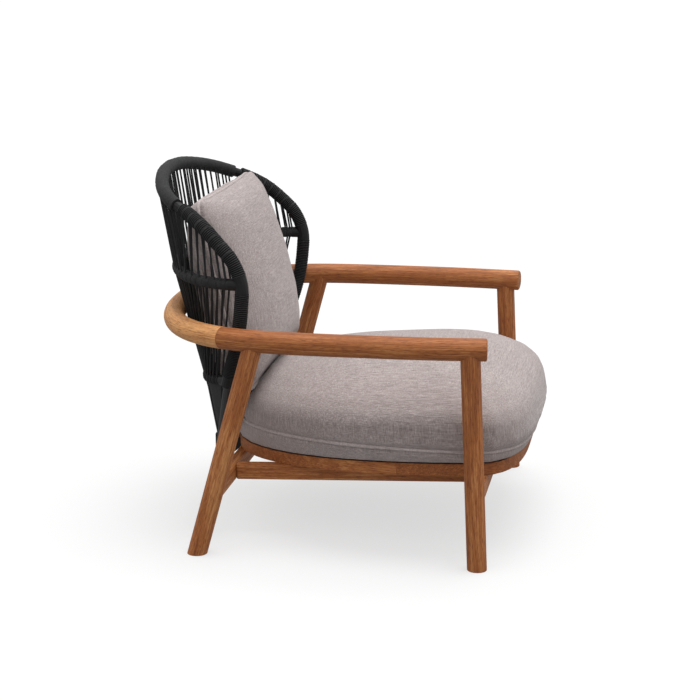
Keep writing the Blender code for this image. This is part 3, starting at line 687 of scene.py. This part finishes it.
def build_arms():
    """The arm rail in three lengths, butted near the rear legs."""
    line = arm_path()
    length = lengths_of(line)[-1]
    joint = length_at(line, 1, ARM_JOINT_Y + SHIFT.y)

    def rounded(s, _angle):
        """The arm's radius so far from its tip."""
        if s >= ARM_TIP_ROUNDING:
            return ARM_RADIUS
        inset = ARM_TIP_ROUNDING - s
        return ARM_RADIUS - ARM_TIP_ROUNDING + math.sqrt(ARM_TIP_ROUNDING**2 - inset**2)

    tip = even(line, 0.0, ARM_TIP_ROUNDING, 6)[:5]
    front = tip + between(line, ARM_TIP_ROUNDING, joint - ARM_JOINT_HALF_GAP, 0.010)
    for sign, side in SIDES:
        look = wood(f"arm_{side}", tone=ARM_TONE, seed=ARM_SEED[side])
        arm = swept_piece(f"arm_rail_{side}", [on_side(front, sign)], rounded, look, 40)
        stand_for(arm, f"arm_{side}")
    rear = whole(between(line, joint + ARM_JOINT_HALF_GAP, length, 0.008)[::-1])
    look = wood("arm_rear", tone=BOW_TONE, seed=BOW_SEED)
    stand_for(swept_piece("arm_rail_rear", [rear], ARM_RADIUS, look, 40), "arm_rear_bow")


def build_wood():
    """The arm rail, and the grain of the legs, the ring and the rails."""
    build_arms()
    for which in ("front", "rear"):
        for sign, side in SIDES:
            low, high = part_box(f"leg_{which}_{side}")
            seed = 0.13 * (high.y - low.y) + sign * 0.21 + LEG_SEED[which]
            run = (-sign * LEG_SPLAY, LEG_LEAN[which], 1.0)
            paint(f"leg_{which}_{side}", wood(f"leg_{which}_{side}", run, LEG_TONE[which], seed))
            run = (RING_LEAN[which] * sign, 1.0, 0.0)
            ring = wood(f"ring_{which}_{side}", run, RING_TONE[which], sign * 0.4 + len(which))
            paint(f"seat_ring_{which}_{side}", ring)
        paint(f"cross_rail_{which}", wood(f"cross_rail_{which}", (1.0, 0.0, 0.0), RAIL_TONE, 2.2))
    for sign, side in SIDES:
        paint(f"side_rail_{side}", wood(f"side_rail_{side}", (0.0, 1.0, -0.04), RAIL_TONE, 1.3 + sign))


# ---------------------------------------------------------------- back frame


def wound(radius):
    """The radius of a tube closely wound with round cord."""

    def at(length, _angle):
        across = (length / WINDING_PITCH % 1.0) * 2 - 1
        return radius + WINDING_PROUD - WINDING_DEPTH * across**2

    return at


def covered(radius, seed):
    """The radius of a tube in a knitted cover, which is never quite even."""

    def at(length, angle):
        spot = Vector((math.cos(angle), math.sin(angle), length / radius + seed))
        return radius * (1 + COVER_LUMP * noise.noise(spot * COVER_LUMP_RATE))

    return at


def lashed(radius):
    """The radius of a tube with slanting lashings, a groove between each and the next."""
    even_cover = covered(radius, 9.0)

    def at(length, angle):
        turn = (length + HOOP_WRAP_SLANT * math.sin(angle)) / HOOP_WRAP_PITCH
        away = abs(turn - round(turn)) * HOOP_WRAP_PITCH
        groove = HOOP_WRAP_DEPTH * math.exp(-((away / HOOP_WRAP_WIDTH) ** 2))
        return even_cover(length, angle) + HOOP_WRAP_PROUD - groove

    return at


def build_tubes():
    """The covered and wound tubes, and the looks of the fittings, webs and deck."""
    line = whole(between(LOOP, 0.0, ARCH_END, 0.006))
    arch = swept_piece("covered_arch", [line], covered(LOOP_RADIUS, 0.0), felt("arch"), 32)
    stand_for(arch, "back_arch")
    line = whole(between(HOOP, 0.0, HOOP_LENGTH - HOOP_STUB, 0.0012))
    hoop = swept_piece("covered_hoop", [line], lashed(HOOP_RADIUS), felt("hoop"), 24)
    stand_for(hoop, "mid_hoop")
    for sign, side in SIDES:
        for name, path, start, end, radius, sides, node in (
            ("wing", LOOP, WING_START, WING_END, LOOP_RADIUS, 28, "wing"),
            ("upright", LOOP, SIDE_START, SIDE_END, LOOP_RADIUS, 28, "side_tube"),
            ("lower_rail", LOWER_RAIL, RAIL_REACH, RAIL_END, LOWER_RAIL_RADIUS, 20, "lower_rail"),
        ):
            line = on_side(between(path, start, end, WINDING_PITCH / 6), sign)
            look = winding(f"{name}_{side}")
            tube = swept_piece(f"wound_{name}_{side}", [line], wound(radius), look, sides)
            stand_for(tube, f"{node}_{side}")
        for node in ("sleeve", "wing_joint", "lower_joint", "lower_tube", "stile"):
            paint(f"{node}_{side}", coated(f"{node}_{side}"))
        paint(f"lower_web_{side}", netting(f"web_{side}"))
    for node in ("back_hub", "back_bracket"):
        paint(node, coated(node))
    paint("seat_deck", netting("deck"))


# ---------------------------------------------------------------- strung cords


def wrap(centre, along, away, radius, steps=11):
    """Cord round the far side of a tube and well under it, square to it."""
    away = (away - along * away.dot(along)).normalized()
    side = along.cross(away)
    points = []
    for i in range(steps):
        turn = WRAP_START + (math.pi - 2 * WRAP_START) * i / (steps - 1)
        reach = side * math.cos(turn) + away * math.sin(turn)
        points.append(centre + reach * radius + along * reach.x * WRAP_DRIFT)
    return points


def cord_loop(top, bottom, top_along, bottom_along, top_radius, bottom_radius):
    """A closed loop of cord round two tubes, as points."""
    upper = wrap(top, top_along, top - bottom, top_radius)
    lower = wrap(bottom, bottom_along, bottom - top, bottom_radius)
    if (upper[-1] - lower[0]).length > (upper[-1] - lower[-1]).length:
        lower.reverse()
    down = [upper[-1].lerp(lower[0], t) for t in (0.25, 0.5, 0.75)]
    back = [lower[-1].lerp(upper[0], t) for t in (0.25, 0.5, 0.75)]
    return [*upper, *down, *lower, *back]


def spot_on(path, share, reach=0.002):
    """The point at that share of the path, and the path's direction there."""
    length = lengths_of(path)[-1]
    spot = length * share
    near = even(path, max(0.0, spot - reach), min(length, spot + reach), 3)
    return near[1], (near[2] - near[0]).normalized()


def band(name, node, top, bottom, count, radii, seed, crowding=1.0):
    """Cord loops strung between two tubes, a little uneven, crowding to the bottom path's end."""
    chance = random.Random(seed)
    loops = []
    for i in range(count):
        share = (i + 0.5 + chance.uniform(-STRAND_UNEVEN, STRAND_UNEVEN)) / count
        a, a_along = spot_on(top, share)
        b, b_along = spot_on(bottom, 1 - (1 - share) ** crowding)
        loops.append(cord_loop(a, b, a_along, b_along, *radii))
    piece = swept_piece(f"strung_{name}", loops, CORD_RADIUS, cord(f"strung_{name}"), 7, closed=True)
    stand_for(piece, f"cords_{node}")


def build_cords():
    """The strung bands: the back above and below the hoop, the wings, and the sides."""
    arch = LOOP_RADIUS - CORD_RADIUS + PROUD_ON_LOOP
    hoop = HOOP_RADIUS - CORD_RADIUS + PROUD_ON_HOOP
    rail = LOWER_RAIL_RADIUS - CORD_RADIUS + PROUD_ON_RAIL
    wing = LOOP_RADIUS + WINDING_PROUD - CORD_RADIUS + PROUD_ON_LOOP
    top = whole(between(LOOP, 0.0, REAR_LOOPS / 2 * STRAND_PITCH, 0.01))
    bottom = whole(between(HOOP, 0.0, HOOP_SPLIT, 0.01))
    band("rear_upper", "rear_upper", top, bottom, REAR_LOOPS, (arch, hoop), 3)
    foot = Vector(STILE_FOOT) + SHIFT
    hub = [Vector((x, foot.y, foot.z + FAN_RISE)) for x in (-FAN_HALF_WIDTH, 0.0, FAN_HALF_WIDTH)]
    band("rear_lower", "rear_lower", bottom, hub, FAN_LOOPS, (hoop, FAN_WRAP_RADIUS), 5)
    top = between(LOOP, WING_START + WING_STRUNG_FROM, WING_START + WING_STRUNG_TO, 0.01)
    bottom = between(HOOP, HOOP_SPLIT, HOOP_LENGTH - HOOP_STUB, 0.01)
    low = between(LOWER_RAIL[::-1], SIDE_STRUNG_FROM, LOWER_RAIL_LENGTH - RAIL_REACH, 0.01)
    for sign, side in SIDES:
        upper, middle, lower = (on_side(path, sign) for path in (top, bottom, low))
        band(f"wing_{side}", f"side_upper_{side}", upper, middle, WING_LOOPS, (wing, hoop), 7, WING_CROWDING)
        band(f"side_{side}", f"side_lower_{side}", middle, lower, SIDE_LOOPS, (hoop, rail), 9)


# ---------------------------------------------------------------- cushions


def applied(piece):
    """The piece's mesh with its modifiers applied."""
    graph = bpy.context.evaluated_depsgraph_get()
    return bpy.data.meshes.new_from_object(piece.evaluated_get(graph))


def replace_mesh(piece, mesh):
    """Gives the piece a finished mesh and takes its modifiers off."""
    old = piece.data
    piece.modifiers.clear()
    piece.data = mesh
    bpy.data.meshes.remove(old)


def cushion_start(name, node, material, grow, rounding):
    """A finely remeshed copy of a CAD cushion, grown a little to make up for the smoothing."""
    piece = placed(name, NODES[node].data.copy())
    piece.data.materials.clear()
    piece.data.materials.append(material)
    weld = piece.modifiers.new("Weld", "WELD")
    weld.merge_threshold = 0.0001
    finer = piece.modifiers.new("Finer", "SUBSURF")
    finer.subdivision_type = "SIMPLE"
    finer.levels = finer.render_levels = 2
    remesh = piece.modifiers.new("Remesh", "REMESH")
    remesh.mode = "VOXEL"
    remesh.voxel_size = CUSHION_VOXEL
    smooth = piece.modifiers.new("Smooth", "SMOOTH")
    smooth.iterations = rounding
    smooth.factor = 0.6
    replace_mesh(piece, applied(piece))
    for vert, normal in zip(piece.data.vertices, [v.normal.copy() for v in piece.data.vertices]):
        vert.co += normal * grow
    return piece


def inflate(piece, swell, pressure=4.0, frames=20):
    """Blows the cushion up as cloth. It keeps its outline: only the swelling and folds are kept."""
    start = [(v.co.copy(), v.normal.copy()) for v in piece.data.vertices]
    cloth = piece.modifiers.new("Cloth", "CLOTH")
    cloth.settings.quality = 5
    cloth.settings.mass = 0.3
    cloth.settings.tension_stiffness = 25.0
    cloth.settings.compression_stiffness = 25.0
    cloth.settings.bending_stiffness = 0.8
    cloth.settings.use_pressure = True
    cloth.settings.uniform_pressure_force = pressure
    cloth.settings.effector_weights.gravity = 0.0
    cloth.point_cache.frame_start = 1
    cloth.point_cache.frame_end = frames
    for number in range(1, frames + 1):
        bpy.context.scene.frame_set(number)
    replace_mesh(piece, applied(piece))
    for vert, (home, normal) in zip(piece.data.vertices, start):
        move = vert.co - home
        outward = move.dot(normal)
        along = move - normal * outward
        kept = swell * math.tanh(outward / SWELL_RANGE)
        vert.co = home + normal * kept + along * min(1.0, SLIDE_LIMIT / max(along.length, 1e-6))
    bpy.context.scene.frame_set(1)


def seat_height(point):
    """Height of a point above the tilted seat deck."""
    local = point - SEAT_PIVOT
    return local.z * math.cos(SEAT_TILT) + local.y * math.sin(SEAT_TILT) - DECK_RISE


def contact(z):
    """Y of the leaning plane where the two cushions meet, at that height."""
    return CONTACT_Y + SHIFT.y + CONTACT_SLOPE * (CONTACT_Z - z)


def pull_in(point, centre, offset):
    """Draws a point that lies near a seam inwards."""
    groove = SEAM_DEPTH * math.exp(-((offset / SEAM_WIDTH) ** 2))
    return point - (point - centre).normalized() * groove


def build_seat_cushion():
    """The seat cushion: flat where it lies on the deck, its piped seam low round its side."""
    look = fabric("seat", SEAT_TILT)
    piece = cushion_start("seat_cushion_cover", "seat_cushion", look, SEAT_GROW, SEAT_ROUNDING)
    inflate(piece, SEAT_SWELL)
    for vert in piece.data.vertices:
        point = vert.co
        height = seat_height(point)
        point.z -= SEAT_SETTLING * max(0.0, 1 - height / SEAT_SETTLED_BELOW)
        height = seat_height(point)
        centre = Vector((SEAT_MIDDLE.x, SEAT_MIDDLE.y, point.z))
        seam = SEAT_SEAM_HEIGHT + SEAT_SEAM_RISE * (point.y - SEAT_MIDDLE.y)
        point = pull_in(point, centre, height - seam)
        wave = SEAT_WAVE * min(1.0, max(0.0, height / SEAT_WAVE_FULL_ABOVE))
        point.z += noise.noise(point * SEAT_WAVE_RATE) * wave
        point.z += max(0.0, SEAT_CLEARANCE - height)
        point.y = min(point.y, contact(point.z) - CONTACT_GAP)
        vert.co = point
    add_subdivision(piece)
    # The piping's lighter fabric tone is a painted highlight along its ridge.
    piping = build_piping("seat_cushion_piping", piece, seat_spot, fabric("seat_piping_painted_highlight", tone=0.16))
    ride_cushion((piece, piping), "seat_cushion")


def ride_cushion(pieces, node):
    """The cover and its piping ride together in place of the CAD cushion."""
    for piece in pieces:
        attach(piece, f"{node}_body")
    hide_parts(node)


def seat_spot(way):
    """Centre and direction of the seat cushion's seam plane, for a direction round it."""
    tilt = Matrix.Rotation(-SEAT_TILT, 3, "X")
    centre = SEAT_PIVOT + tilt @ Vector((0.0, SEAT_MIDDLE.y, DECK_RISE + SEAT_SEAM_HEIGHT))
    return centre, tilt @ Vector((way.x, way.y, SEAT_SEAM_RISE * way.y))


def add_subdivision(piece):
    """Adds one subdivision of the finished cover."""
    subdivision = piece.modifiers.new("Subdivision", "SUBSURF")
    subdivision.levels = subdivision.render_levels = 1


def seam_loop(piece, spot):
    """The line where a plane cuts the cushion's outline, found by rays from outside."""
    shape = bmesh.new()
    shape.from_mesh(piece.data)
    tree = BVHTree.FromBMesh(shape)
    shape.free()
    points = []
    steps = 240
    for i in range(steps):
        angle = math.tau * i / steps
        centre, way = spot(Vector((math.cos(angle), math.sin(angle), 0.0)))
        hit = tree.ray_cast(centre + way * 0.8, -way)[0]
        points.append(hit + way * PIPING_RADIUS * PIPING_SHOWING)
    for _ in range(3):
        points = [(points[i - 1] + 2 * p + points[(i + 1) % steps]) / 4 for i, p in enumerate(points)]
    total = lengths_of([*points, points[0]])[-1]
    return even([*points, points[0]], 0.0, total * (1 - 1 / steps), steps)


def build_piping(name, piece, spot, material):
    """Piping in a cushion's seam."""
    return swept_piece(name, [seam_loop(piece, spot)], PIPING_RADIUS, material, 10, closed=True)


def back_spot(depth, way):
    """Centre and direction of a seam plane of the leaning back cushion."""
    across = way.x * Vector((1.0, 0.0, 0.0))
    return BACK_MIDDLE + BACK_FORWARD * depth, across + way.y * (BACK_UP - BACK_FORWARD * BOXING_LEAN)


def build_back_cushion():
    """The back cushion: full in front towards its foot, boxed between two piped seams."""
    half_height = (BACK_HEAD - BACK_FOOT).length / 2
    half_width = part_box("back_cushion")[1].x
    lean = math.atan2(BACK_UP.y, BACK_UP.z)
    look = fabric("back", lean)
    piece = cushion_start("back_cushion_cover", "back_cushion", look, BACK_GROW, BACK_ROUNDING)
    inflate(piece, BACK_SWELL)
    for vert in piece.data.vertices:
        point = vert.co
        depth = (point - BACK_MIDDLE).dot(BACK_FORWARD)
        height = (point - BACK_MIDDLE).dot(BACK_UP)
        full = FULL_MIDDLE + FULL_FOOT * min(0.0, height / half_height) ** 2
        point = point + BACK_FORWARD * full * min(1.0, max(0.0, depth / BOXING_HALF - 1.0))
        upper = max(0.0, height / half_height)
        point -= BACK_FORWARD * FULL_REAR * upper * min(1.0, max(0.0, -depth / BOXING_HALF))
        corner = min(1.0, abs(point.x) / half_width * upper) ** 2
        point += corner * Vector((math.copysign(CORNER_OUT, point.x), 0.0, CORNER_UP))
        for seam in (BOXING_HALF, -BOXING_HALF):
            centre = BACK_MIDDLE + BACK_FORWARD * depth
            point = pull_in(point, centre, depth + BOXING_LEAN * height - seam)
        point.y = max(point.y, contact(point.z) + CONTACT_GAP)
        vert.co = point
    add_subdivision(piece)
    pieces = [piece]
    for name, seam in (("front", BOXING_HALF), ("rear", -BOXING_HALF)):
        # The piping's lighter fabric tone is a painted highlight along its ridge.
        look = fabric(f"back_piping_painted_highlight_{name}", tone=0.12)
        spot = partial(back_spot, seam)
        pieces.append(build_piping(f"back_cushion_piping_{name}", piece, spot, look))
    ride_cushion(pieces, "back_cushion")


# ---------------------------------------------------------------- stage


def build_sky():
    """A bright studio: white overhead, dimmer low down."""
    world = bpy.data.worlds.new("studio")
    bpy.context.scene.world = world
    world.use_nodes = True
    tree = world.node_tree
    background = tree.nodes["Background"]
    lean = tree.nodes.new("ShaderNodeVectorMath")
    lean.operation = "DOT_PRODUCT"
    lean.inputs[1].default_value = SKY_LEAN
    tree.links.new(tree.nodes.new("ShaderNodeTexCoord").outputs["Generated"], lean.inputs[0])
    ramp = tree.nodes.new("ShaderNodeMapRange")
    tree.links.new(lean.outputs["Value"], ramp.inputs["Value"])
    for key, value in (("From Min", -0.3), ("From Max", 0.7), ("To Min", SKY_LOW), ("To Max", SKY_HIGH)):
        ramp.inputs[key].default_value = value
    tree.links.new(ramp.outputs["Result"], background.inputs["Strength"])
    background.inputs["Color"].default_value = (1.0, 1.0, 1.0, 1.0)


def build_stage():
    """A white floor that glows a little, a broad key light overhead, and the camera."""
    bpy.ops.mesh.primitive_plane_add(size=FLOOR_SIZE, location=(0.0, 0.0, 0.0))
    floor = bpy.context.object
    floor.name = "floor"
    look = Look("floor", (FLOOR_PAINT,) * 3, 0.9, Emission_Strength=FLOOR_GLOW)
    look.shader.inputs["Emission Color"].default_value = (1.0, 1.0, 1.0, 1.0)
    floor.data.materials.append(look.material)
    floor.visible_diffuse = False
    floor.visible_glossy = False
    build_sky()
    sun = bpy.data.lights.new("key", "SUN")
    sun.energy = SUN_POWER
    sun.angle = SUN_SPREAD
    key = placed("key", sun)
    key.location = SUN_PLACE
    key.rotation_euler = (-Vector(SUN_PLACE)).to_track_quat("-Z", "Y").to_euler()

    lens = bpy.data.cameras.new("camera")
    lens.lens = CAMERA_LENS
    lens.sensor_width = 36.0
    camera = placed("camera", lens)
    camera.location = CAMERA_PLACE
    camera.rotation_euler = Euler(CAMERA_TURN)
    bpy.context.scene.camera = camera
    bpy.context.scene.view_settings.view_transform = "Standard"


build_stage()
build_wood()
build_tubes()
build_cords()
build_seat_cushion()
build_back_cushion()
